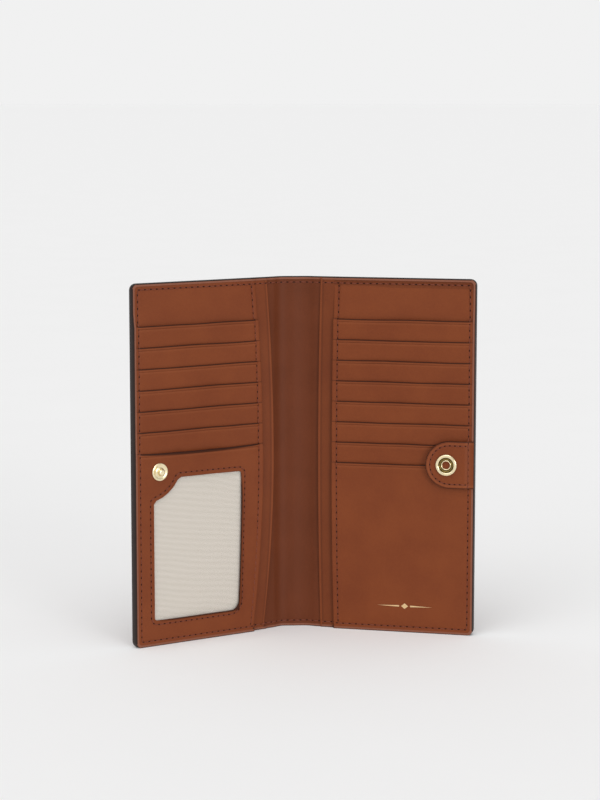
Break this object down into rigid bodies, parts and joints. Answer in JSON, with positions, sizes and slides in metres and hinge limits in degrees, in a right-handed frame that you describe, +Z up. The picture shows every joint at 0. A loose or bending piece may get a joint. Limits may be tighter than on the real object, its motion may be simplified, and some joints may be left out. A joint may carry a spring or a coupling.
{
  "type": "long wallet",
  "caption": "Leather bifold long wallet standing open, with card pockets, slip pockets, a clear ID window pocket and a snap tab that closes it.",
  "frame": {"origin": "centre of the box round the open wallet, on the surface that it stands on", "axes": "+Z up along the spine, +X to the right as the inside faces the viewer, -Y out of the open inside"},
  "size_m": [0.1818, 0.0496, 0.19],
  "materials": {
    "outer_leather": "satin",
    "inner_leather": "satin",
    "lining_leather": "satin",
    "fibre_board": "matte",
    "saddle_thread": "matte",
    "window_fabric": "matte",
    "clear_film": "gloss",
    "gold_plate": "polished"
  },
  "bodies": {
    "spine": {"spine_cover": "outer_leather", "spine_lining": "lining_leather", "spine_thread_top": "saddle_thread", "spine_thread_bottom": "saddle_thread"},
    "left_half": {"left_cover": "outer_leather", "left_stiffener": "fibre_board", "left_lining": "lining_leather", "left_slip_divider": "inner_leather", "left_card_base": "inner_leather", "left_card_pocket_1": "inner_leather", "left_card_pocket_2": "inner_leather", "left_card_pocket_3": "inner_leather", "left_card_pocket_4": "inner_leather", "left_card_pocket_5": "inner_leather", "left_card_pocket_6": "inner_leather", "left_edge_thread": "saddle_thread", "left_card_thread": "saddle_thread", "id_pocket_lining": "window_fabric", "id_window_film": "clear_film", "id_window_frame": "inner_leather", "window_thread": "saddle_thread", "snap_stud": "gold_plate", "stud_post": "gold_plate"},
    "right_half": {"right_cover": "outer_leather", "right_stiffener": "fibre_board", "right_lining": "lining_leather", "right_slip_divider": "inner_leather", "right_card_base": "inner_leather", "right_card_pocket_1": "inner_leather", "right_card_pocket_2": "inner_leather", "right_card_pocket_3": "inner_leather", "right_card_pocket_4": "inner_leather", "right_card_pocket_5": "inner_leather", "right_card_pocket_6": "inner_leather", "right_card_pocket_7": "inner_leather", "right_card_pocket_8": "inner_leather", "right_edge_thread": "saddle_thread", "right_card_thread": "saddle_thread", "tab_root": "inner_leather"},
    "snap_tab": {"tab_back": "inner_leather", "tab_core": "fibre_board", "tab_front": "inner_leather", "tab_thread": "saddle_thread", "snap_socket": "gold_plate", "snap_cap": "gold_plate"}
  },
  "joints": [
    {"name": "left_fold", "type": "hinge", "parent": "spine", "child": "left_half", "pos_m": [-0.01025, 0.02356, 0.095], "axis": [0, 0, -1], "range_deg": [-60.5, 29.5]},
    {"name": "right_fold", "type": "hinge", "parent": "spine", "child": "right_half", "pos_m": [0.00275, 0.02356, 0.095], "axis": [0, 0, 1], "range_deg": [-72.65, 17.35]},
    {"name": "tab_lift", "type": "hinge", "parent": "right_half", "child": "snap_tab", "pos_m": [0.08649, -0.00784, 0.092], "axis": [0, 0, 1], "range_deg": [0, 150]}
  ]
}
